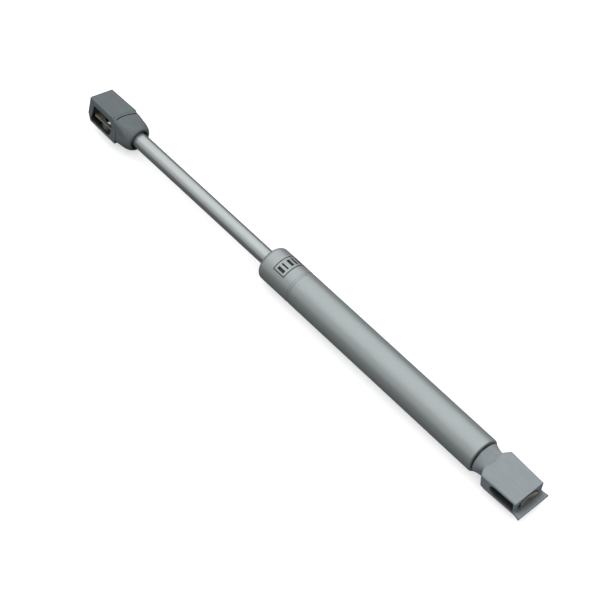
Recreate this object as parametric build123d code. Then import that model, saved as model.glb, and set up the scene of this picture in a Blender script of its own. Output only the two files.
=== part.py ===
"""Gas strut stay for a cabinet flap: a sprung rod in a sealed tube, with a clipped stud socket at each end.

Row frame: the origin is the centre of the tube-end stud hole's wall, +X runs along the strut towards the rod
end, and +Z points away from the face that the studs enter. The strut is drawn fully extended.
"""

import os

from build123d import *

# Driving dimensions, in millimetres
STUD_SPACING = 280.0  # from one stud hole to the other, fully extended
TUBE_OUTER_R = 9.0
TUBE_WALL = 1.2
TUBE_LENGTH = 144.5
ROD_R = 4.0
ROD_TURN = 19.0  # degrees that the rod end is turned about the strut's axis, seen against the tube end
STUD_HOLE_R = 4.0
LEAD_IN = 0.5  # chamfer at the mouth of each stud hole
TUBE_SOCKET_TOP = 4.3
TUBE_SOCKET_BOTTOM = -5.0
ROD_SOCKET_TOP = 6.5
ROD_SOCKET_BOTTOM = -6.0

# Where the tube starts: each socket reaches this far from its stud hole towards the strut
SOCKET_REACH = 18.5
TUBE_START = SOCKET_REACH

# Clearances
RUNNING = 0.03
LOOSE = 0.1
SEAM = 0.05

# Tube
TUBE_INNER_R = TUBE_OUTER_R - TUBE_WALL
MOUTH_R = 5.6  # the opening that the rolled-over front end leaves
REAR_LIP_R = 6.6  # the opening that the rolled-in rear end leaves
BEAD_X = TUBE_LENGTH - 21.3
BEAD_DEPTH = 0.45
BEAD_WIDTH = 1.6

# Screw threads, drawn as plain shanks
THREAD_R = 3.0
INSERT_R = 4.2
INSERT_END = -9.7

# Clip
CLIP_SHEET = 0.7
CLIP_BOTTOM = -1.9
CLIP_HALF_WIDTH = 6.4
CLIP_SHOULDER_X = 8.7
CLIP_TRAVEL = 2.4
CLIP_OPEN_R = 4.7
CLIP_NECK_R = 3.1
TAB_RADIUS = 16.0
TAB_HALF_WIDTH = 5.0
TAB_X = 9.2
TAB_SIDE_TOP = 0.1
TAB_TOP = 1.1
BOSS_R = 6.0
BOSS_TOP = CLIP_BOTTOM - LOOSE
AXIS_Z = -(TUBE_SOCKET_BOTTOM + LEAD_IN + BOSS_TOP) / 2  # height of the strut's axis over the origin


def turned(*points):
    """A solid turned about the strut's axis from a closed outline of (x, radius) points."""
    outline = Polyline(*points, close=True)
    return revolve(make_face(outline), Axis.X)


def turned_round(points, radii):
    """As turned, with a fillet radius for each corner."""
    outline = FilletPolyline(*points, radius=radii, close=True)
    return revolve(make_face(outline), Axis.X)


def across(x):
    """A plane square to the strut's axis: its own x runs along Y and its own y along Z."""
    return Plane(origin=(x, 0, 0), x_dir=(0, 1, 0), z_dir=(1, 0, 0))


def side_sheet(outline, half_width):
    """A solid of an outline in the XZ plane, half_width to each side of it."""
    return extrude(Plane.XZ * make_face(outline), half_width, both=True)


def plan_sheet(outline, bottom, top):
    """A solid of an outline in the XY plane, from one height to another."""
    return Pos(0, 0, bottom) * extrude(make_face(outline), top - bottom)


def along_x(radius, start, end):
    """A cylinder on the strut's axis."""
    return extrude(across(start) * Circle(radius), end - start)


# ---------------------------------------------------------------- pieces inside and on the tube
# These are placed along the tube: x is 0 at its rear end and TUBE_LENGTH at its mouth.

PLUG_BACK = TUBE_WALL + SEAM
PLUG_LENGTH = 9.0
PLUG_FRONT = PLUG_BACK + PLUG_LENGTH
PLUG_GROOVE = (PLUG_BACK + 4.2, PLUG_BACK + 6.6)
RING_SECTION_R = 1.1

GUIDE_FRONT = TUBE_LENGTH - 2.6
GUIDE_BACK = GUIDE_FRONT - 7.0
SEAL_BACK = GUIDE_BACK - 5.2
WASHER_BACK = SEAL_BACK - 1.2
STOP_SLEEVE_BACK = BEAD_X - 3.2
FRONT_STACK_R = TUBE_INNER_R - SEAM


def pressure_tube():
    """Seamless tube, rolled in at both ends, with a bead rolled into it that locates the seal stack."""
    wall, outer, inner, length = TUBE_WALL, TUBE_OUTER_R, TUBE_INNER_R, TUBE_LENGTH
    points = [
        (0, REAR_LIP_R),
        (0, outer),
        (length, outer),
        (length, MOUTH_R),
        (length - wall, MOUTH_R),
        (length - wall, inner),
        (wall, inner),
        (wall, REAR_LIP_R),
    ]
    radii = [0.3, 0.9, 2.6, 0.5, 0.5, 1.4, 0.2, 0.3]
    tube = turned_round(points, radii)
    half = BEAD_WIDTH / 2
    bead_r = (half**2 + BEAD_DEPTH**2) / (2 * BEAD_DEPTH)
    dip = revolve(Pos(BEAD_X, outer + bead_r - BEAD_DEPTH) * Circle(bead_r), Axis.X)
    ridge_r = inner + bead_r - BEAD_DEPTH
    ridge = revolve(Pos(BEAD_X, ridge_r) * Circle(bead_r), Axis.X)
    ridge &= along_x(inner + 0.01, BEAD_X - half, BEAD_X + half)
    return tube - dip + ridge


def rear_plug():
    """Turned steel plug behind the rolled-in rear end, with a groove for its ring and a threaded hole."""
    r = TUBE_INNER_R - SEAM
    groove_back, groove_front = PLUG_GROOVE
    depth = 2 * RING_SECTION_R - 0.15
    plug = turned_round(
        [(PLUG_BACK, 0), (PLUG_BACK, r), (PLUG_FRONT, r), (PLUG_FRONT, 0)],
        [0, 0.4, 0.6, 0],
    )
    plug -= along_x(r + 1, groove_back, groove_front) - along_x(r - depth, groove_back, groove_front)
    return plug - along_x(THREAD_R, PLUG_BACK, PLUG_BACK + 6.0)


def rear_plug_ring():
    """Rubber ring in the plug's groove, squeezed a little by the tube."""
    back, front = PLUG_GROOVE
    r = TUBE_INNER_R - RING_SECTION_R + 0.05
    return revolve(Pos((back + front) / 2, r) * Ellipse(RING_SECTION_R, RING_SECTION_R - 0.07), Axis.X)


def rear_stud():
    """Threaded stud that joins the rear plug to the tube-end socket's insert."""
    back = -8.6
    front = PLUG_BACK + 5.6
    return turned_round([(back, 0), (back, THREAD_R), (front, THREAD_R), (front, 0)], [0, 0.6, 0.6, 0])


def front_wiper():
    """Plastic ring in the mouth that keeps dirt off the rod."""
    back, front = GUIDE_FRONT + SEAM, TUBE_LENGTH - TUBE_WALL - SEAM
    nose = TUBE_LENGTH + 0.2
    return turned(
        (back, ROD_R + RUNNING),
        (back, FRONT_STACK_R - 1.6),
        (front, FRONT_STACK_R - 1.6),
        (front, MOUTH_R - LOOSE),
        (nose, MOUTH_R - LOOSE),
        (nose + 0.5, MOUTH_R - 0.6),
        (nose + 0.5, ROD_R + RUNNING),
    )


def rod_guide():
    """Bush that carries the rod, waisted on the outside for oil."""
    r = FRONT_STACK_R
    third = (GUIDE_FRONT - GUIDE_BACK) / 3
    bush = turned_round(
        [(GUIDE_BACK, ROD_R + RUNNING), (GUIDE_BACK, r), (GUIDE_FRONT, r), (GUIDE_FRONT, ROD_R + RUNNING)],
        [0.3, 0.4, 1.4, 0.3],
    )
    waist = along_x(r + 1, GUIDE_BACK + third, GUIDE_FRONT - third)
    return bush - (waist - along_x(r - 0.8, GUIDE_BACK + third, GUIDE_FRONT - third))


def rod_seal():
    """Rubber lip seal: an outer lip on the tube and an inner lip on the rod, with a trough on the gas side."""
    back, front = SEAL_BACK + SEAM, GUIDE_BACK - SEAM
    bore, outer = ROD_R + RUNNING, FRONT_STACK_R
    return turned(
        (front, bore + 0.5),
        (front, outer - 0.5),
        (front - 0.6, outer),
        (back, outer),
        (back, outer - 0.9),
        (back + 2.4, outer - 1.4),
        (back + 2.4, bore + 1.3),
        (back, bore + 0.8),
        (back, bore),
        (front - 2.0, bore),
    )


def seal_washer():
    """Steel washer that backs the lip seal against the rolled bead."""
    return turned(
        (WASHER_BACK + SEAM, ROD_R + 0.4),
        (WASHER_BACK + SEAM, FRONT_STACK_R),
        (SEAL_BACK, FRONT_STACK_R),
        (SEAL_BACK, ROD_R + 0.4),
    )


def seal_spacer():
    """Plastic tube between the seal washer and the rolled bead."""
    back, front = BEAD_X + BEAD_WIDTH / 2 + SEAM, WASHER_BACK
    return turned(
        (back, ROD_R + 1.6),
        (back, FRONT_STACK_R),
        (front, FRONT_STACK_R),
        (front, ROD_R + 1.6),
    )


def stop_ring():
    """Ring on the gas side of the rolled bead, which the piston's bumper meets at full extension."""
    back, front = STOP_SLEEVE_BACK, BEAD_X - BEAD_WIDTH / 2 - SEAM
    return turned_round(
        [(back, ROD_R + 0.5), (back, FRONT_STACK_R), (front, FRONT_STACK_R), (front, ROD_R + 0.5)],
        [0.3, 0.3, 0.3, 0.3],
    )


# ---------------------------------------------------------------- rod and piston
# Placed along the tube too, fully extended.

BUMPER_FRONT = STOP_SLEEVE_BACK - 0.3
BUMPER_BACK = BUMPER_FRONT - 5.0
FRONT_WASHER_BACK = BUMPER_BACK - 1.0
PISTON_BACK = FRONT_WASHER_BACK - 7.5
VALVE_DISC_BACK = PISTON_BACK - 0.6
REAR_WASHER_BACK = VALVE_DISC_BACK - 1.0
NUT_BACK = REAR_WASHER_BACK - 3.2
PISTON_R = TUBE_INNER_R - 0.25
PISTON_STEP_R = 2.5
RING_GROOVE = (PISTON_BACK + 2.6, PISTON_BACK + 4.9)
RING_GROOVE_R = PISTON_R - 1.5
ROD_MOUTH = STUD_SPACING - 2 * SOCKET_REACH  # the rod-end socket's collar, from the tube's rear end
ROD_SHANK_DEPTH = 3.4
ROD_THREAD_DEPTH = 8.6


def piston_rod():
    """Chromed rod: a step for the piston at one end and a thread for the socket at the other."""
    back = NUT_BACK - 0.8
    shoulder = FRONT_WASHER_BACK + 1.0
    shank_end = ROD_MOUTH + ROD_SHANK_DEPTH
    end = ROD_MOUTH + ROD_THREAD_DEPTH
    return turned_round(
        [
            (back, 0),
            (back, PISTON_STEP_R),
            (shoulder, PISTON_STEP_R),
            (shoulder, ROD_R),
            (shank_end, ROD_R),
            (shank_end, THREAD_R),
            (end, THREAD_R),
            (end, 0),
        ],
        [0, 0.6, 0, 0.3, 0.3, 0, 0.6, 0],
    )


def washer(back, thickness, outer_r):
    """Plain washer on the rod's step."""
    bore = PISTON_STEP_R
    front = back + thickness
    return turned((back, bore), (back, outer_r), (front, outer_r), (front, bore))


def piston():
    """Piston with a ring groove and four gas ports."""
    back, front = PISTON_BACK, FRONT_WASHER_BACK
    groove_back, groove_front = RING_GROOVE
    body = turned_round(
        [(back, PISTON_STEP_R), (back, PISTON_R), (front, PISTON_R), (front, PISTON_STEP_R)],
        [0.1, 0.5, 0.5, 0.1],
    )
    body -= along_x(PISTON_R + 1, groove_back, groove_front) - along_x(RING_GROOVE_R, groove_back, groove_front)
    port = Pos(0, 4.2, 0) * along_x(0.6, back - 1, front + 1)
    for n in range(4):
        body -= Rot(90 * n + 45, 0, 0) * port
    return body


def piston_ring():
    """Ring that seals the piston to the tube. It slides with the piston, and needn't turn with it."""
    back, front = RING_GROOVE[0] + RUNNING, RING_GROOVE[1] - RUNNING
    inner, outer = RING_GROOVE_R + RUNNING, TUBE_INNER_R - RUNNING
    return turned_round([(back, inner), (back, outer), (front, outer), (front, inner)], [0.1, 0.5, 0.5, 0.1])


def valve_disc():
    """Thin metering disc behind the piston."""
    return washer(VALVE_DISC_BACK, PISTON_BACK - VALVE_DISC_BACK, 5.4)


def piston_nut():
    """Hexagon nut that clamps the piston to the rod."""
    nut = extrude(across(NUT_BACK) * RegularPolygon(4.6, 6), REAR_WASHER_BACK - NUT_BACK)
    return nut - along_x(PISTON_STEP_R, NUT_BACK, REAR_WASHER_BACK)


def end_bumper():
    """Rubber sleeve round the rod that cushions full extension."""
    return turned_round(
        [
            (BUMPER_BACK, ROD_R + 0.02),
            (BUMPER_BACK, ROD_R + 2.0),
            (BUMPER_FRONT, ROD_R + 2.0),
            (BUMPER_FRONT, ROD_R + 0.02),
        ],
        [0.1, 0.8, 0.8, 0.1],
    )


# ---------------------------------------------------------------- sockets
# Each is drawn about its own stud hole: the hole's axis is Z, the strut's axis is X, and +X is outwards.


def end_arch(radius, centre, floor):
    """The arched way in through a socket's outer end, round above its centre and standing on a level floor."""
    middle, length = 12.2, 7.6
    tunnel = extrude(across(middle - length / 2) * Pos(0, centre) * Circle(radius), length)
    return tunnel & Pos(middle, 0, floor + radius) * Box(length + 1, 3 * radius, 2 * radius)


def clip_pocket():
    """The slot in the neck-side wall that the clip's plate is pushed into."""
    start = -CLIP_HALF_WIDTH - CLIP_TRAVEL - 0.3
    height = CLIP_SHEET + 2 * LOOSE
    middle = CLIP_BOTTOM + CLIP_SHEET / 2
    return Pos(start / 2, 0, middle) * Box(-start, 2 * CLIP_HALF_WIDTH + 4 * LOOSE, height)


def stud_hole(bottom):
    """The round hole for the stud, with a lead-in chamfer."""
    hole = Pos(0, 0, (bottom + BOSS_TOP) / 2) * Cylinder(STUD_HOLE_R, BOSS_TOP - bottom + 1)
    lead_in = Pos(0, 0, bottom + LEAD_IN / 2) * Cone(STUD_HOLE_R + LEAD_IN, STUD_HOLE_R, LEAD_IN)
    return hole + lead_in


def tube_socket_block():
    """Wide flat head: sloped shoulders, a rounded heel, an outer end that leans in, and a lip along its foot."""
    top, bottom = TUBE_SOCKET_TOP, TUBE_SOCKET_BOTTOM
    heel, brow, lip = -12.4, 10.6, 13.6
    side = FilletPolyline(
        (heel, top),
        (brow, top),
        (brow - 0.9, bottom + 1.8),
        (lip, bottom + 1.5),
        (lip, bottom),
        (heel, bottom),
        radius=[0, 0, 0.5, 0.5, 0.3, 5.0],
        close=True,
    )
    half = [(heel, 6.4), (-10.4, 9.4), (brow, 8.7), (lip, 9.3)]
    plan = Polyline(*half, *[(x, -y) for x, y in reversed(half)], close=True)
    block = side_sheet(side, 12) & plan_sheet(plan, bottom - 1, top + 1)
    rim = block.edges().filter_by(lambda edge: edge.center().Z > top - 0.05 and abs(edge.center().Y) > 3)
    return fillet(rim, 0.9)


def tube_socket_neck():
    """Neck that changes from round at the tube to the head's section, waisted between."""
    sections = [
        (-SOCKET_REACH + 1.1, 15.8, 15.8, 7.8, 0),
        (-15.0, 14.0, 12.8, 5.6, -0.1),
        (-11.6, 12.8, 9.2, 2.2, -0.36),
    ]
    faces = [across(x) * Pos(0, z) * RectangleRounded(w, h, r) for x, w, h, r, z in sections]
    return loft(faces)


def tube_end_socket():
    """Grey plastic stud socket that screws onto the rear stud."""
    bottom = TUBE_SOCKET_BOTTOM
    window = FilletPolyline(
        (-5.1, bottom + 1.4), (9.3, bottom + 1.4), (9.3, 3.0), (-5.1, 3.0), radius=[3.1, 0.7, 0.7, 3.1], close=True
    )
    socket = tube_socket_block() + tube_socket_neck()
    socket -= side_sheet(window, 12)
    socket += Pos(0, 0, (bottom + BOSS_TOP) / 2) * Cylinder(BOSS_R, BOSS_TOP - bottom)
    socket -= stud_hole(bottom)
    socket -= end_arch(6.2, -2.5, bottom + 1.9)
    socket -= clip_pocket()
    return socket - along_x(INSERT_R, -SOCKET_REACH, INSERT_END)


def rod_socket_block():
    """Narrower, deeper head: a heel that bows towards the rod and a cut-back foot at the outer end."""
    top, bottom = ROD_SOCKET_TOP, ROD_SOCKET_BOTTOM
    heel = ThreePointArc((-10.0, bottom), (-8.4, 1.4), (-4.4, top))
    rest = Polyline((-4.4, top), (12.9, top), (12.1, -2.6), (9.6, bottom), (-10.0, bottom))
    half = [(-12, 7.7), (13, 7.1)]
    plan = Polyline(*half, *[(x, -y) for x, y in reversed(half)], close=True)
    block = side_sheet(heel + rest, 12) & plan_sheet(plan, bottom - 1, top + 1)
    rim = block.edges().filter_by(lambda edge: edge.center().Z > top - 0.05 and abs(edge.center().Y) > 5)
    return fillet(rim, 0.55)


def rod_socket_collar():
    """Barrel-shaped collar, round at its mouth."""
    sections = [
        (-SOCKET_REACH, 12.4, 12.4, 6.1, 0),
        (-SOCKET_REACH + 1.2, 14.2, 13.9, 6.8, 0),
        (-SOCKET_REACH + 5.0, 15.0, 13.5, 4.8, 0.1),
        (-9.0, 14.9, 12.4, 2.3, 0.15),
        (-4.0, 14.4, 11.8, 2.0, 0.1),
    ]
    faces = [across(x) * Pos(0, z) * RectangleRounded(w, h, r) for x, w, h, r, z in sections]
    return loft(faces)


def heel_groove():
    """Shallow curved groove that sets the collar off from the block's top."""
    ring = Circle(17.8) - Circle(17.2)
    return Pos(-23.5, 1, 5.9) * extrude(ring, 2)


def rod_end_socket():
    """Grey plastic stud socket that screws onto the rod's thread."""
    bottom, mouth = ROD_SOCKET_BOTTOM, -SOCKET_REACH
    window = FilletPolyline(
        (-5.6, bottom + 1.0), (9.4, bottom + 1.0), (9.4, 3.5), (-5.6, 3.5), radius=[2.4, 0.8, 0.8, 3.6], close=True
    )
    socket = rod_socket_block() + rod_socket_collar() - heel_groove()
    socket -= side_sheet(window, 12)
    socket += Pos(0, 0, (bottom + BOSS_TOP) / 2) * Cylinder(BOSS_R, BOSS_TOP - bottom)
    socket -= stud_hole(bottom)
    socket -= end_arch(6.0, -2.5, BOSS_TOP - 0.2)
    socket -= clip_pocket()
    socket -= along_x(5.0, mouth - 1, mouth + 2.2)
    socket -= along_x(ROD_R, mouth - 1, mouth + ROD_SHANK_DEPTH)
    return socket - along_x(INSERT_R, mouth, INSERT_END)


def insert(start, end):
    """Knurled brass thread insert, moulded into a socket's neck."""
    sleeve = along_x(INSERT_R, start, end) - along_x(THREAD_R, start, end)
    middle, width = (start + end) / 2, 0.8
    groove = along_x(INSERT_R + 1, middle - width, middle + width)
    return sleeve - (groove - along_x(INSERT_R - 0.4, middle - width, middle + width))


def clip():
    """Sheet-metal slide clip: a plate with a keyhole, and a curved finger tab turned up at its outer end.

    At rest the round part of the keyhole clears the stud hole. Pushed in by CLIP_TRAVEL, its narrow part
    closes on the stud's neck.
    """
    tab_centre = TAB_X + TAB_RADIUS
    tab_outer = Circle(TAB_RADIUS)
    tab_inner = Circle(TAB_RADIUS - CLIP_SHEET)
    wide = CLIP_SHOULDER_X + CLIP_HALF_WIDTH
    blank = Rectangle(wide, 2 * CLIP_HALF_WIDTH)
    blank = Pos(CLIP_SHOULDER_X - wide / 2, 0) * fillet(blank.vertices(), 1.2)
    blank += Pos(CLIP_SHOULDER_X, 0) * Rectangle(6, 2 * TAB_HALF_WIDTH)
    blank -= Pos(tab_centre, 0) * tab_inner
    keyhole = Circle(CLIP_OPEN_R) + Pos(CLIP_TRAVEL, 0) * Circle(CLIP_NECK_R)
    plate = Pos(0, 0, CLIP_BOTTOM) * extrude(blank - keyhole, CLIP_SHEET)
    band = Pos(tab_centre, 0) * (tab_outer - tab_inner)
    band &= Pos(TAB_X + 1.5, 0) * Rectangle(6, 2 * TAB_HALF_WIDTH)
    tab = Pos(0, 0, CLIP_BOTTOM) * extrude(band, TAB_TOP - CLIP_BOTTOM)
    foot, side, half = CLIP_BOTTOM - 1, TAB_SIDE_TOP, TAB_HALF_WIDTH + 1
    crown = ThreePointArc((half, side), (0, TAB_TOP), (-half, side))
    crown += Polyline((-half, side), (-half, foot), (half, foot), (half, side))
    return plate + (tab & extrude(across(TAB_X - 2) * make_face(crown), 8))


# ---------------------------------------------------------------- assembly

ON_TUBE = Pos(TUBE_START, 0, AXIS_Z)
AT_TUBE_END = Pos(0, 0, AXIS_Z) * Rot(0, 0, 180)
AT_ROD_END = Pos(STUD_SPACING, 0, AXIS_Z) * Rot(ROD_TURN, 0, 0)


def nodes():
    """Every piece in its place, by name."""
    socket_mouth = -SOCKET_REACH
    return {
        "pressure_tube": ON_TUBE * pressure_tube(),
        "rear_plug": ON_TUBE * rear_plug(),
        "rear_plug_ring": ON_TUBE * rear_plug_ring(),
        "rear_stud": ON_TUBE * rear_stud(),
        "front_wiper": ON_TUBE * front_wiper(),
        "rod_guide": ON_TUBE * rod_guide(),
        "rod_seal": ON_TUBE * rod_seal(),
        "seal_washer": ON_TUBE * seal_washer(),
        "seal_spacer": ON_TUBE * seal_spacer(),
        "stop_ring": ON_TUBE * stop_ring(),
        "tube_end_socket": AT_TUBE_END * tube_end_socket(),
        "tube_end_insert": AT_TUBE_END * insert(socket_mouth + 0.6, INSERT_END),
        "tube_end_clip": AT_TUBE_END * clip(),
        "piston_rod": ON_TUBE * piston_rod(),
        "end_bumper": ON_TUBE * end_bumper(),
        "piston_front_washer": ON_TUBE * washer(FRONT_WASHER_BACK, 1.0, 6.2),
        "piston": ON_TUBE * piston(),
        "piston_ring": ON_TUBE * piston_ring(),
        "valve_disc": ON_TUBE * valve_disc(),
        "piston_rear_washer": ON_TUBE * washer(REAR_WASHER_BACK, 1.0, 4.8),
        "piston_nut": ON_TUBE * piston_nut(),
        "rod_end_socket": AT_ROD_END * rod_end_socket(),
        "rod_end_insert": AT_ROD_END * insert(socket_mouth + ROD_SHANK_DEPTH, INSERT_END),
        "rod_end_clip": AT_ROD_END * clip(),
    }


def main():
    os.makedirs("parts", exist_ok=True)
    for name, shape in nodes().items():
        export_step(shape, f"parts/{name}.step")


main()
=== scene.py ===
"""Looks of a gas strut stay: finishes for metal, plastic and rubber, a printed panel, and a stage."""

from math import cos, pi, radians, sin

import bpy
import numpy as np
from mathutils import Euler, Matrix, Vector


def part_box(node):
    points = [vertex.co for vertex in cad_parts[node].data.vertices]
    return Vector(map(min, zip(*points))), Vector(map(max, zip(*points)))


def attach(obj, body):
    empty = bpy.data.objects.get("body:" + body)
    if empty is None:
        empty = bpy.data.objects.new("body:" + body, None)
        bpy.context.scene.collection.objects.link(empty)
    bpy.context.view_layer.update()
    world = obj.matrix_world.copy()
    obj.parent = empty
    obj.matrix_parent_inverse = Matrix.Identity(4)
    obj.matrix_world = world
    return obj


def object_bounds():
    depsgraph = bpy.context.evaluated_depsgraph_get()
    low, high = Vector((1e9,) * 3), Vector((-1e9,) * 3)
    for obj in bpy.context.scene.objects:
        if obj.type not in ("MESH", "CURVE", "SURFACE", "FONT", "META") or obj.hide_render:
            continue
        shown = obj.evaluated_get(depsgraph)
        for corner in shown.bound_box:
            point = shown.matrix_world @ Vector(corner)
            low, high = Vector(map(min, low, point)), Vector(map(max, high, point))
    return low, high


bl_info = {
    "name": "Gas Strut Stay",
    "version": (1, 0, 0),
    "blender": (4, 5, 0),
    "location": "3D View > Sidebar > Gas Strut",
    "description": "Finishes, printed panel and studio for a gas strut stay",
    "category": "Object",
}

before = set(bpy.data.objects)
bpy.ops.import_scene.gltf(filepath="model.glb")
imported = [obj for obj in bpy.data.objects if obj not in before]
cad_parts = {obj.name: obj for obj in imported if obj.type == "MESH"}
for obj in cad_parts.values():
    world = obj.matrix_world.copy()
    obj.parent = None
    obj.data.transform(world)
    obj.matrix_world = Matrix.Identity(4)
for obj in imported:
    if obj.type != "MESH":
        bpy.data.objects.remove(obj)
MM = 0.001

# Places that the frame gives, in metres
TUBE_LOW, TUBE_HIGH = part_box("pressure_tube")
TUBE_RADIUS = (TUBE_HIGH.z - TUBE_LOW.z) / 2
TUBE_MOUTH = TUBE_HIGH.x
AXIS_HEIGHT = (TUBE_HIGH.z + TUBE_LOW.z) / 2
CAD_LOW, CAD_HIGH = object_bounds()

# The stage, in metres
FLOOR_HALF_SIZE = 3.0
FLOOR_GAP = 0.2 * MM
SOFTBOX_X = 0.14
SOFTBOXES = (  # name, degrees from overhead towards +Y, distance, width, share of the radiance
    ("overhead", 0, 0.62, 1.0, 1.0),
    ("near_side", 62, 0.8, 0.5, 0.5),
    ("far_side", -55, 0.8, 0.45, 0.9),
)


# ---------------------------------------------------------------- sizes and colours that a user would change


class StrutColours(bpy.types.PropertyGroup):
    """Base colours of the finishes."""

    tube_paint: bpy.props.FloatVectorProperty(
        name="Tube paint", description="Satin silver coat on the tube", subtype="COLOR", size=3,
        default=(0.425, 0.465, 0.468), min=0, max=1,
    )
    rod_chrome: bpy.props.FloatVectorProperty(
        name="Rod chrome", description="Ground chrome on the rod", subtype="COLOR", size=3,
        default=(0.51, 0.545, 0.545), min=0, max=1,
    )
    light_nylon: bpy.props.FloatVectorProperty(
        name="Tube-end socket", description="Light bluish grey nylon", subtype="COLOR", size=3,
        default=(0.30, 0.34, 0.36), min=0, max=1,
    )
    dark_nylon: bpy.props.FloatVectorProperty(
        name="Rod-end socket", description="Darker grey nylon", subtype="COLOR", size=3,
        default=(0.15, 0.175, 0.185), min=0, max=1,
    )
    zinc: bpy.props.FloatVectorProperty(
        name="Clip plating", description="Pale yellow zinc on the slide clips", subtype="COLOR", size=3,
        default=(0.80, 0.72, 0.47), min=0, max=1,
    )
    steel: bpy.props.FloatVectorProperty(
        name="Turned steel", description="Bare steel of the parts inside", subtype="COLOR", size=3,
        default=(0.56, 0.57, 0.58), min=0, max=1,
    )
    brass: bpy.props.FloatVectorProperty(
        name="Insert brass", description="Brass of the thread inserts", subtype="COLOR", size=3,
        default=(0.72, 0.55, 0.26), min=0, max=1,
    )
    rubber: bpy.props.FloatVectorProperty(
        name="Seal rubber", description="Black rubber of the seals", subtype="COLOR", size=3,
        default=(0.018, 0.018, 0.019), min=0, max=1,
    )
    bearing: bpy.props.FloatVectorProperty(
        name="Bearing plastic", description="Dark plastic of the guide and wiper", subtype="COLOR", size=3,
        default=(0.035, 0.036, 0.038), min=0, max=1,
    )
    ink: bpy.props.FloatVectorProperty(
        name="Panel ink", description="Ink of the printed panel", subtype="COLOR", size=3,
        default=(0.012, 0.013, 0.014), min=0, max=1,
    )


class PanelSizes(bpy.types.PropertyGroup):
    """Sizes of the printed panel that wraps round the tube near its mouth."""

    from_mouth: bpy.props.FloatProperty(
        name="From the mouth", description="Gap between the tube's mouth and the panel",
        default=8.1 * MM, min=0, unit="LENGTH",
    )
    height: bpy.props.FloatProperty(
        name="Height", description="Size of the panel along the tube",
        default=7.5 * MM, min=0, unit="LENGTH",
    )
    start: bpy.props.FloatProperty(
        name="Start", description="Angle of the panel's near end from the top of the tube",
        default=radians(37), subtype="ANGLE",
    )
    end: bpy.props.FloatProperty(
        name="End", description="Angle of the panel's far end", default=radians(-90), subtype="ANGLE",
    )
    line: bpy.props.FloatProperty(
        name="Line", description="Width of the outline", default=0.45 * MM, min=0, unit="LENGTH",
    )
    bars: bpy.props.IntProperty(
        name="Bars", description="How many plain bars fill the panel", default=6, min=1,
    )
    ink_depth: bpy.props.FloatProperty(
        name="Ink depth", description="Thickness of the ink", default=0.02 * MM, min=0, unit="LENGTH",
    )


class StageSizes(bpy.types.PropertyGroup):
    """Camera, lights and floor."""

    azimuth: bpy.props.FloatProperty(
        name="Azimuth", description="Where the camera stands round the strut", default=radians(-130.15),
        subtype="ANGLE",
    )
    elevation: bpy.props.FloatProperty(
        name="Elevation", description="Height of the camera over the horizon", default=radians(54.61),
        subtype="ANGLE",
    )
    roll: bpy.props.FloatProperty(
        name="Roll", description="Turn of the camera about its own axis",
        default=radians(-1.31), subtype="ANGLE",
    )
    distance: bpy.props.FloatProperty(
        name="Distance", description="From the camera to its target", default=1.1205, min=0, unit="LENGTH",
    )
    target: bpy.props.FloatVectorProperty(
        name="Target", description="The point that the camera looks at", size=3, subtype="TRANSLATION",
        default=(138.24 * MM, 3.47 * MM, 0.705 * MM),
    )
    lens: bpy.props.FloatProperty(
        name="Lens", description="Focal length in millimetres on a 36 mm sensor", default=144, min=1,
    )
    softbox_length: bpy.props.FloatProperty(
        name="Softbox length", description="Size of the softboxes along the strut", default=2.4, min=0,
        unit="LENGTH",
    )
    softbox_radiance: bpy.props.FloatProperty(
        name="Softbox radiance", description="Brightness of the overhead softbox in watts per square metre "
        "and steradian", default=1.15, min=0,
    )
    sky: bpy.props.FloatProperty(
        name="Sky", description="Brightness of the surroundings", default=0.09, min=0,
    )
    floor_glow: bpy.props.FloatProperty(
        name="Floor glow", description="Light that the floor gives off by itself", default=0.50, min=0,
    )
    floor_colour: bpy.props.FloatVectorProperty(
        name="Floor", description="Colour of the floor", subtype="COLOR", size=3, default=(0.9, 0.9, 0.9),
        min=0, max=1,
    )


# ---------------------------------------------------------------- shader maths


class Value:
    """A number from a socket. Each arithmetic operator adds the Math node that works it out."""

    def __init__(self, finish, socket):
        self.finish, self.socket = finish, socket

    def maths(self, operation, *numbers):
        inputs = {place: number for place, number in enumerate(numbers)}
        return self.finish.value("ShaderNodeMath", inputs, operation=operation)

    def __add__(self, other):
        return self.maths("ADD", self, other)

    def __sub__(self, other):
        return self.maths("SUBTRACT", self, other)

    def __rsub__(self, other):
        return self.maths("SUBTRACT", other, self)

    def __mul__(self, other):
        return self.maths("MULTIPLY", self, other)

    __radd__ = __add__
    __rmul__ = __mul__

    def sine(self):
        return self.maths("SINE", self)

    def between(self, low, high):
        """0 at low and 1 at high, straight between them and held outside them."""
        inputs = {"Value": self, "From Min": low, "From Max": high}
        return self.finish.value("ShaderNodeMapRange", inputs, output="Result", clamp=True)


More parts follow.
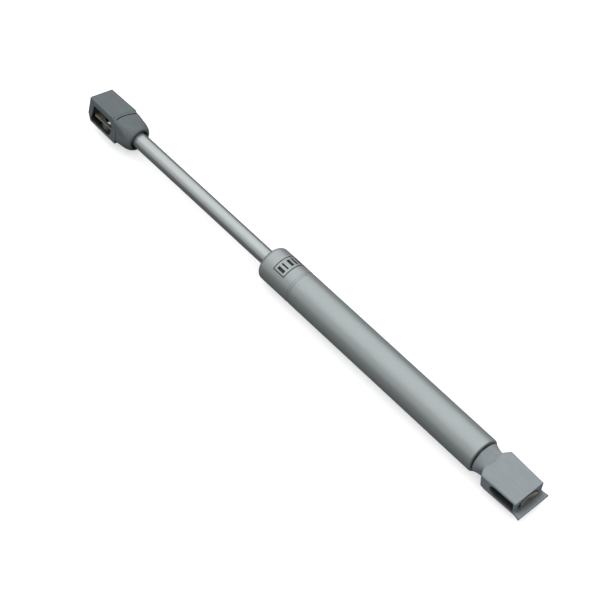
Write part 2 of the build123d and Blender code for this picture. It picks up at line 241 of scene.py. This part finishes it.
class Finish:
    """A material under construction, on one Principled shader, with patterns in object coordinates."""

    def __init__(self, name, **constants):
        self.material = bpy.data.materials.new(name)
        self.material.use_nodes = True
        self.nodes, self.links = self.material.node_tree.nodes, self.material.node_tree.links
        self.shader = self.nodes["Principled BSDF"]
        for socket, number in constants.items():
            self.shader.inputs[socket.replace("_", " ")].default_value = number
        self.place = self.node("ShaderNodeTexCoord", {}).outputs["Object"]

    def node(self, kind, inputs, ramp=(), **settings):
        """Any node: its settings and ramp stops go in first, then the numbers or links of its sockets."""
        node = self.nodes.new(kind)
        for name, setting in settings.items():
            setattr(node, name, setting)
        for place, (position, colour) in enumerate(ramp):
            stops = node.color_ramp.elements
            stop = stops[place] if place < len(stops) else stops.new(position)
            stop.position, stop.color = position, colour
        for socket, given in inputs.items():
            self.feed(node.inputs[socket], given)
        return node

    def feed(self, socket, given):
        """Links a socket to a value or another socket, or sets it to a number or colour."""
        if isinstance(given, Value):
            self.links.new(given.socket, socket)
        elif isinstance(given, bpy.types.NodeSocket):
            self.links.new(given, socket)
        elif socket.type == "RGBA" and len(given) == 3:
            socket.default_value = (*given, 1)
        else:
            socket.default_value = given

    def value(self, kind, inputs, output=0, **settings):
        return Value(self, self.node(kind, inputs, **settings).outputs[output])

    def spread(self, scale, turn=(0, 0, 0)):
        """Object coordinates, stretched by scale along each axis."""
        inputs = {"Vector": self.place, "Scale": scale, "Rotation": turn}
        return self.node("ShaderNodeMapping", inputs).outputs["Vector"]

    def noise(self, scale, detail=2.0, rough=0.5, place=None):
        """Cloudy noise with features of about 1/scale metres, centred on 0.5."""
        inputs = {"Vector": place or self.place, "Scale": scale, "Detail": detail, "Roughness": rough}
        return self.value("ShaderNodeTexNoise", inputs, output="Fac")

    def cells(self, scale, place=None):
        """Distance to the nearest of many scattered points."""
        inputs = {"Vector": place or self.place, "Scale": scale}
        return self.value("ShaderNodeTexVoronoi", inputs, output="Distance")

    def along(self, axis):
        """One of the object coordinates, in metres."""
        split = self.node("ShaderNodeSeparateXYZ", {"Vector": self.place})
        return Value(self, split.outputs[axis])

    def mix(self, share, first, second):
        """A colour that goes from first to second as share goes from 0 to 1."""
        node = self.nodes.new("ShaderNodeMix")
        node.data_type = "RGBA"
        colours = [socket for socket in node.inputs if socket.type == "RGBA"]
        self.feed(node.inputs[0], share)
        self.feed(colours[0], first)
        self.feed(colours[1], second)
        return next(socket for socket in node.outputs if socket.type == "RGBA")

    def rounded(self, radius, samples=6):
        """The surface's normal with every edge eased over a radius."""
        return self.node("ShaderNodeBevel", {"Radius": radius}, samples=samples).outputs["Normal"]

    def edges(self, radius):
        """0 on open surface and rising to 1 along edges, from how far easing turns the normal."""
        true = self.node("ShaderNodeNewGeometry", {}).outputs["Normal"]
        eased = self.rounded(radius)
        inputs = {0: true, 1: eased}
        dot = self.value("ShaderNodeVectorMath", inputs, output="Value", operation="DOT_PRODUCT")
        return (1 - dot).between(0.0, 0.25)

    def painted_recess_shade(self, reach):
        """Mask for painted shade: 0 on open surface and 1 deep in an opening, from how much lies within
        reach over it.
        """
        inputs = {"Distance": reach}
        open_share = self.value("ShaderNodeAmbientOcclusion", inputs, output="AO", samples=8)
        return 1 - open_share.between(0.48, 0.85)

    def bump(self, height, strength, depth, normal=None):
        """A normal that a height between 0 and 1 pushes out, depth being its size in metres."""
        inputs = {"Height": height, "Strength": strength, "Distance": depth}
        if normal is not None:
            inputs["Normal"] = normal
        return self.node("ShaderNodeBump", inputs).outputs["Normal"]

    def done(self, **links):
        """Feeds the shader's sockets and returns the material."""
        for socket, given in links.items():
            self.feed(self.shader.inputs[socket.replace("_", " ")], given)
        return self.material


def tint(colour, gain):
    """A colour brightened or darkened by a factor."""
    return tuple(min(1.0, part * gain) for part in colour)


# ---------------------------------------------------------------- finishes


def tube_paint(colour):
    """Satin silver coat: metal flake, a faint cloud, a fine orange peel and paler rubbed edges."""
    coat = Finish("satin_silver_coat", Metallic=0.55, Coat_Weight=0.12, Coat_Roughness=0.35)
    flake = coat.cells(5200)
    cloud = coat.noise(70, detail=3)
    rubbing = coat.noise(900, detail=4, place=coat.spread((0.08, 1, 1)))
    edge = coat.edges(0.5 * MM) * coat.noise(1400).between(0.42, 0.62)
    base = coat.mix(flake.between(0.15, 0.6), tint(colour, 1.07), tint(colour, 0.92))
    base = coat.mix(cloud.between(0.35, 0.65) * 0.35, base, tint(colour, 0.94))
    base = coat.mix(edge * 0.5, base, tint(colour, 1.35))
    rough = 0.37 + 0.06 * cloud + 0.05 * rubbing - 0.08 * edge
    peel = coat.noise(1100, detail=2) * 0.6 + flake * 0.25 + rubbing * 0.15
    normal = coat.bump(peel, 0.22, 0.02 * MM, coat.rounded(0.25 * MM))
    return coat.done(Base_Color=base, Roughness=rough, Normal=normal)


def rod_chrome(colour):
    """Ground chrome: hair-fine rings round the rod, a few wipe marks along it and a faint oily bloom."""
    chrome = Finish("chromed_rod", Metallic=0.8)
    rings = chrome.noise(1, detail=4, rough=0.7, place=chrome.spread((9000, 60, 60)))
    wipes = chrome.noise(1, detail=3, place=chrome.spread((25, 1600, 1600)))
    bloom = chrome.noise(45, detail=4)
    base = chrome.mix(bloom.between(0.35, 0.7) * 0.4, colour, tint(colour, 0.93))
    rough = 0.30 + 0.08 * rings + 0.05 * wipes.between(0.5, 0.75) + 0.05 * bloom
    normal = chrome.bump(rings * 0.7 + wipes * 0.3, 0.12, 0.01 * MM, chrome.rounded(0.2 * MM))
    return chrome.done(Base_Color=base, Roughness=rough, Normal=normal)


def nylon(name, colour):
    """Filled nylon: grain, faint flow streaks, light specks, a painted highlight along the edges and painted
    shade darkening the openings.
    """
    plastic = Finish(name, Specular_IOR_Level=0.45)
    grain = plastic.noise(3200, detail=3, rough=0.6)
    pits = plastic.cells(2600)
    flow = plastic.noise(1, detail=3, place=plastic.spread((120, 420, 300)))
    specks = plastic.cells(1500).between(0.10, 0.04)
    edge = plastic.edges(0.45 * MM)
    base = plastic.mix(flow.between(0.35, 0.7), tint(colour, 0.95), tint(colour, 1.06))
    base = plastic.mix(grain.between(0.35, 0.7) * 0.5, base, tint(colour, 0.9))
    base = plastic.mix(specks * 0.12, base, tint(colour, 1.7))
    # painted highlight: every edge paled towards a lighter grey, as if catching the light
    base = plastic.mix(edge * 0.4, base, tint(colour, 1.35))
    # painted shade: deep in openings the colour goes nearly black, standing in for shadow
    base = plastic.mix(plastic.painted_recess_shade(9 * MM) * 0.96, base, tint(colour, 0.04))
    rough = 0.50 + 0.12 * grain - 0.10 * edge
    normal = plastic.bump(grain * 0.7 + pits * 0.3, 0.3, 0.03 * MM, plastic.rounded(0.6 * MM))
    return plastic.done(Base_Color=base, Roughness=rough, Normal=normal)


def clip_zinc(colour):
    """Yellow zinc on rolled sheet: rolling lines, a drifting tint, a painted highlight along the edges and
    painted shade in the recesses.
    """
    zinc = Finish("yellow_zinc", Metallic=0.75)
    rolled = zinc.noise(1, detail=4, place=zinc.spread((350, 6000, 900)))
    drift = zinc.noise(260, detail=3)
    edge = zinc.edges(0.15 * MM)
    base = zinc.mix(drift.between(0.3, 0.7), colour, (0.62, 0.60, 0.50))
    # painted highlight: edges paled towards near white, as if catching the light
    base = zinc.mix(edge * 0.6, base, (0.80, 0.79, 0.74))
    # painted shade: colour darkened deep in recesses, standing in for shadow
    base = zinc.mix(zinc.painted_recess_shade(5 * MM) * 0.8, base, tint(colour, 0.1))
    rough = 0.20 + 0.12 * rolled + 0.08 * drift
    normal = zinc.bump(rolled, 0.2, 0.01 * MM, zinc.rounded(0.12 * MM))
    return zinc.done(Base_Color=base, Roughness=rough, Normal=normal)


def turned_steel(colour):
    """Bare turned steel: tool rings along the strut's axis and grey oil stain."""
    steel = Finish("turned_steel", Metallic=1.0)
    rings = (steel.along("X") * (2 * pi / (0.12 * MM)) + 3 * steel.noise(500)).sine() * 0.5 + 0.5
    stain = steel.noise(300, detail=4)
    base = steel.mix(stain.between(0.35, 0.7), colour, tint(colour, 0.72))
    rough = 0.30 + 0.10 * rings + 0.12 * stain
    normal = steel.bump(rings, 0.15, 0.01 * MM, steel.rounded(0.15 * MM))
    return steel.done(Base_Color=base, Roughness=rough, Normal=normal)


def insert_brass(colour):
    """Brass with a diamond knurl: two sets of ridges that wind round the axis in opposite ways."""
    brass = Finish("brass", Metallic=1.0)
    offset = brass.along("Z") - AXIS_HEIGHT
    angle = brass.value("ShaderNodeMath", {0: brass.along("Y"), 1: offset}, operation="ARCTAN2")
    turns, pitch = 30, 2 * pi / (1.0 * MM)
    one = (angle * turns + brass.along("X") * pitch).sine()
    two = (angle * turns - brass.along("X") * pitch).sine()
    knurl = one * two * 0.5 + 0.5
    stain = brass.noise(400, detail=3)
    base = brass.mix(stain.between(0.35, 0.7), colour, tint(colour, 0.7))
    normal = brass.bump(knurl, 0.6, 0.1 * MM)
    return brass.done(Base_Color=base, Roughness=0.28 + 0.15 * stain, Normal=normal)


def seal_rubber(colour):
    """Moulded black rubber with a bloom of pale dust in its pores."""
    rubber = Finish("black_rubber", Specular_IOR_Level=0.3)
    pores = rubber.noise(2500, detail=4)
    base = rubber.mix(pores.between(0.5, 0.8) * 0.4, colour, tint(colour, 3))
    normal = rubber.bump(pores, 0.3, 0.03 * MM, rubber.rounded(0.2 * MM))
    return rubber.done(Base_Color=base, Roughness=0.62 + 0.2 * pores, Normal=normal)


def bearing_plastic(colour):
    """Dark acetal, turned and slightly glossy, with wear where the rod rubs."""
    acetal = Finish("bearing_polymer", Specular_IOR_Level=0.5)
    rings = acetal.noise(1, detail=3, place=acetal.spread((7000, 90, 90)))
    cloud = acetal.noise(600, detail=3)
    base = acetal.mix(cloud.between(0.4, 0.7) * 0.5, colour, tint(colour, 1.6))
    normal = acetal.bump(rings, 0.2, 0.01 * MM, acetal.rounded(0.2 * MM))
    return acetal.done(Base_Color=base, Roughness=0.33 + 0.15 * rings, Normal=normal)


def panel_ink(colour):
    """Screen-printed ink: thin and slightly starved in places, so that the coat greys it."""
    ink = Finish("panel_ink", Specular_IOR_Level=0.4)
    starved = ink.noise(2200, detail=4)
    base = ink.mix(starved.between(0.5, 0.78) * 0.6, colour, tint(colour, 5))
    normal = ink.bump(starved, 0.2, 0.01 * MM)
    return ink.done(Base_Color=base, Roughness=0.4 + 0.2 * starved, Normal=normal)


# ---------------------------------------------------------------- surfaces


def grid_faces(rows, columns):
    """Quads of a grid of rows by columns points, numbered row by row."""
    corner = np.arange(rows * columns).reshape(rows, columns)
    quads = [corner[:-1, :-1], corner[1:, :-1], corner[1:, 1:], corner[:-1, 1:]]
    return np.stack(quads, -1).reshape(-1, 4)


def tube_patch(x_range, angle_range, radius, steps=(3, 48)):
    """Points and faces of a patch of a cylinder about the strut's axis.

    The point for a place x and an angle a from the top is (x, radius sin a, axis height + radius cos a).
    """
    x, a = np.meshgrid(np.linspace(*x_range, steps[0]), np.linspace(*angle_range, steps[1]), indexing="ij")
    points = np.stack([x, radius * np.sin(a), AXIS_HEIGHT + radius * np.cos(a)], -1)
    return points.reshape(-1, 3), grid_faces(*steps)


def joined(patches):
    """Several patches of points and faces as one."""
    counts = np.cumsum([0] + [len(points) for points, _ in patches[:-1]])
    points = np.concatenate([points for points, _ in patches])
    faces = np.concatenate([faces + start for (_, faces), start in zip(patches, counts)])
    return points, faces


def new_piece(name, points, faces, material):
    """An object at the origin whose mesh holds the points and faces, with smooth shading."""
    mesh = bpy.data.meshes.new(name)
    mesh.from_pydata(points.tolist(), [], faces.tolist())
    mesh.polygons.foreach_set("use_smooth", np.ones(len(faces), bool))
    mesh.materials.append(material)
    mesh.update()
    piece = bpy.data.objects.new(name, mesh)
    bpy.context.scene.collection.objects.link(piece)
    return piece


def coat_nodes(names, material):
    """Gives each CAD node a material in place of its own."""
    for name in names:
        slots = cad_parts[name].data.materials
        slots.clear()
        slots.append(material)


def settings():
    """The scene's property groups: colours, panel sizes and stage sizes."""
    scene = bpy.context.scene
    return scene.strut_colours, scene.strut_panel, scene.strut_stage


# ---------------------------------------------------------------- operators


class STRUT_OT_finish_tube(bpy.types.Operator):
    """Paint the pressure tube"""

    bl_idname = "strut.finish_tube"
    bl_label = "Finish the tube"

    def execute(self, context):
        colours, _, _ = settings()
        coat_nodes(["pressure_tube"], tube_paint(tuple(colours.tube_paint)))
        return {"FINISHED"}


class STRUT_OT_finish_rod(bpy.types.Operator):
    """Chrome the rod"""

    bl_idname = "strut.finish_rod"
    bl_label = "Finish the rod"

    def execute(self, context):
        colours, _, _ = settings()
        coat_nodes(["piston_rod"], rod_chrome(tuple(colours.rod_chrome)))
        return {"FINISHED"}


class STRUT_OT_finish_sockets(bpy.types.Operator):
    """Give the two moulded sockets their grey nylon"""

    bl_idname = "strut.finish_sockets"
    bl_label = "Finish the sockets"

    def execute(self, context):
        colours, _, _ = settings()
        coat_nodes(["tube_end_socket"], nylon("light_grey_nylon", tuple(colours.light_nylon)))
        coat_nodes(["rod_end_socket"], nylon("dark_grey_nylon", tuple(colours.dark_nylon)))
        return {"FINISHED"}


class STRUT_OT_finish_clips(bpy.types.Operator):
    """Plate the two slide clips"""

    bl_idname = "strut.finish_clips"
    bl_label = "Finish the clips"

    def execute(self, context):
        colours, _, _ = settings()
        coat_nodes(["tube_end_clip", "rod_end_clip"], clip_zinc(tuple(colours.zinc)))
        return {"FINISHED"}


class STRUT_OT_finish_inner_parts(bpy.types.Operator):
    """Finish the plug, seals, piston and inserts inside"""

    bl_idname = "strut.finish_inner_parts"
    bl_label = "Finish the inner parts"

    def execute(self, context):
        colours, _, _ = settings()
        steel = ["rear_plug", "rear_stud", "seal_washer", "stop_ring", "piston", "valve_disc", "piston_nut"]
        steel += ["piston_front_washer", "piston_rear_washer"]
        coat_nodes(steel, turned_steel(tuple(colours.steel)))
        coat_nodes(["rear_plug_ring", "rod_seal", "end_bumper"], seal_rubber(tuple(colours.rubber)))
        plastic = ["front_wiper", "rod_guide", "seal_spacer", "piston_ring"]
        coat_nodes(plastic, bearing_plastic(tuple(colours.bearing)))
        coat_nodes(["tube_end_insert", "rod_end_insert"], insert_brass(tuple(colours.brass)))
        return {"FINISHED"}


class STRUT_OT_print_panel(bpy.types.Operator):
    """Print the outlined panel and its plain bars on the tube"""

    bl_idname = "strut.print_panel"
    bl_label = "Print the panel"

    def execute(self, context):
        colours, panel, _ = settings()
        radius = TUBE_RADIUS + panel.ink_depth
        high = TUBE_MOUTH - panel.from_mouth
        low = high - panel.height
        line, turn = panel.line, panel.line / TUBE_RADIUS
        near, far = panel.start, panel.end
        patches = [
            tube_patch((low, low + line), (near, far), radius),
            tube_patch((high - line, high), (near, far), radius),
            tube_patch((low + line, high - line), (near, near - turn), radius, (3, 4)),
            tube_patch((low + line, high - line), (far + turn, far), radius, (3, 4)),
        ]
        patches += self.bars(panel, low, high, radius)
        piece = new_piece("printed_panel", *joined(patches), panel_ink(tuple(colours.ink)))
        shell = piece.modifiers.new("ink", "SOLIDIFY")
        shell.thickness, shell.offset = panel.ink_depth * 0.9, -1
        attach(piece, "cylinder")
        return {"FINISHED"}

    def bars(self, panel, low, high, radius):
        """Plain upright bars, evenly spaced, every second one narrower."""
        inset = panel.height * 0.22
        margin = radians(9)
        pitch = (panel.start - panel.end - 2 * margin) / panel.bars
        patches = []
        for number in range(panel.bars):
            start = panel.start - margin - number * pitch
            width = pitch * (0.55 if number % 2 == 0 else 0.3)
            patches.append(tube_patch((low + inset, high - inset), (start, start - width), radius, (3, 12)))
        return patches


class STRUT_OT_set_stage(bpy.types.Operator):
    """Lay the floor, hang the lights and place the camera"""

    bl_idname = "strut.set_stage"
    bl_label = "Set the stage"

    def execute(self, context):
        _, _, stage = settings()
        self.floor(stage)
        self.sky(stage)
        self.softboxes(stage)
        self.camera(stage)
        return {"FINISHED"}

    def floor(self, stage):
        """A pale, faintly glowing sheet just under the strut, left out of its bounced light."""
        half, depth = FLOOR_HALF_SIZE, CAD_LOW.z - FLOOR_GAP
        corners = [(-half, -half), (half, -half), (half, half), (-half, half)]
        points = np.array([(x, y, depth) for x, y in corners])
        paper = Finish("floor_paper", Roughness=0.8)
        mottle = paper.noise(30, detail=3)
        base = paper.mix(mottle * 0.1, tuple(stage.floor_colour), (0.86, 0.86, 0.86))
        paper.shader.inputs["Emission Color"].default_value = (1, 1, 1, 1)
        paper.shader.inputs["Emission Strength"].default_value = stage.floor_glow
        floor = new_piece("floor", points, np.array([[0, 1, 2, 3]]), paper.done(Base_Color=base))
        floor.visible_diffuse = False
        floor.visible_glossy = False

    def sky(self, stage):
        """An even, neutral world."""
        world = bpy.data.worlds.new("studio")
        world.use_nodes = True
        world.node_tree.nodes["Background"].inputs["Color"].default_value = (0.95, 0.98, 1.0, 1)
        world.node_tree.nodes["Background"].inputs["Strength"].default_value = stage.sky
        bpy.context.scene.world = world

    def softboxes(self, stage):
        """A wide softbox overhead and a dimmer one down each side, all aimed at the strut."""
        for name, lean, distance, width, share in SOFTBOXES:
            self.softbox(stage, name, radians(lean), distance, width, share)

    def softbox(self, stage, name, lean, distance, width, share):
        """One softbox at an angle from overhead, with a share of the main radiance."""
        light = bpy.data.lights.new(name, "AREA")
        light.shape, light.size, light.size_y = "RECTANGLE", stage.softbox_length, width
        light.energy = pi * stage.softbox_length * width * stage.softbox_radiance * share
        lamp = bpy.data.objects.new(name, light)
        lamp.location = (SOFTBOX_X, distance * sin(lean), distance * cos(lean))
        lamp.rotation_euler = Euler((-lean, 0, 0))
        bpy.context.scene.collection.objects.link(lamp)

    def camera(self, stage):
        """A long lens on a sphere round its target, rolled about its own axis."""
        lens = bpy.data.cameras.new("camera")
        lens.lens, lens.sensor_width = stage.lens, 36
        lens.clip_start, lens.clip_end = 0.05, 20
        camera = bpy.data.objects.new("camera", lens)
        level = cos(stage.elevation)
        back = Vector((sin(stage.azimuth) * level, -cos(stage.azimuth) * level, sin(stage.elevation)))
        aim = (-back).to_track_quat("-Z", "Y").to_matrix().to_4x4()
        place = Matrix.Translation(Vector(stage.target) + back * stage.distance)
        camera.matrix_world = place @ aim @ Matrix.Rotation(stage.roll, 4, "Z")
        bpy.context.scene.collection.objects.link(camera)
        bpy.context.scene.camera = camera
        bpy.context.scene.view_settings.view_transform = "Standard"


# ---------------------------------------------------------------- panel and registration

PROPERTY_GROUPS = {"strut_colours": StrutColours, "strut_panel": PanelSizes, "strut_stage": StageSizes}
OPERATORS = (
    STRUT_OT_finish_tube,
    STRUT_OT_finish_rod,
    STRUT_OT_finish_sockets,
    STRUT_OT_finish_clips,
    STRUT_OT_finish_inner_parts,
    STRUT_OT_print_panel,
    STRUT_OT_set_stage,
)


class STRUT_PT_sidebar(bpy.types.Panel):
    """Steps and settings of the gas strut"""

    bl_label = "Gas Strut"
    bl_idname = "STRUT_PT_sidebar"
    bl_space_type = "VIEW_3D"
    bl_region_type = "UI"
    bl_category = "Gas Strut"

    def draw(self, context):
        for operator in OPERATORS:
            self.layout.operator(operator.bl_idname)
        for name, group in PROPERTY_GROUPS.items():
            box = self.layout.box()
            for setting in group.__annotations__:
                box.prop(getattr(context.scene, name), setting)


def register():
    for group in PROPERTY_GROUPS.values():
        bpy.utils.register_class(group)
    for name, group in PROPERTY_GROUPS.items():
        setattr(bpy.types.Scene, name, bpy.props.PointerProperty(type=group))
    for operator in OPERATORS:
        bpy.utils.register_class(operator)
    bpy.utils.register_class(STRUT_PT_sidebar)


def unregister():
    bpy.utils.unregister_class(STRUT_PT_sidebar)
    for operator in reversed(OPERATORS):
        bpy.utils.unregister_class(operator)
    for name, group in PROPERTY_GROUPS.items():
        delattr(bpy.types.Scene, name)
        bpy.utils.unregister_class(group)


def main():
    """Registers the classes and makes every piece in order."""
    register()
    for operator in OPERATORS:
        family, step = operator.bl_idname.split(".")
        getattr(getattr(bpy.ops, family), step)()


if __name__ == "__main__":
    main()
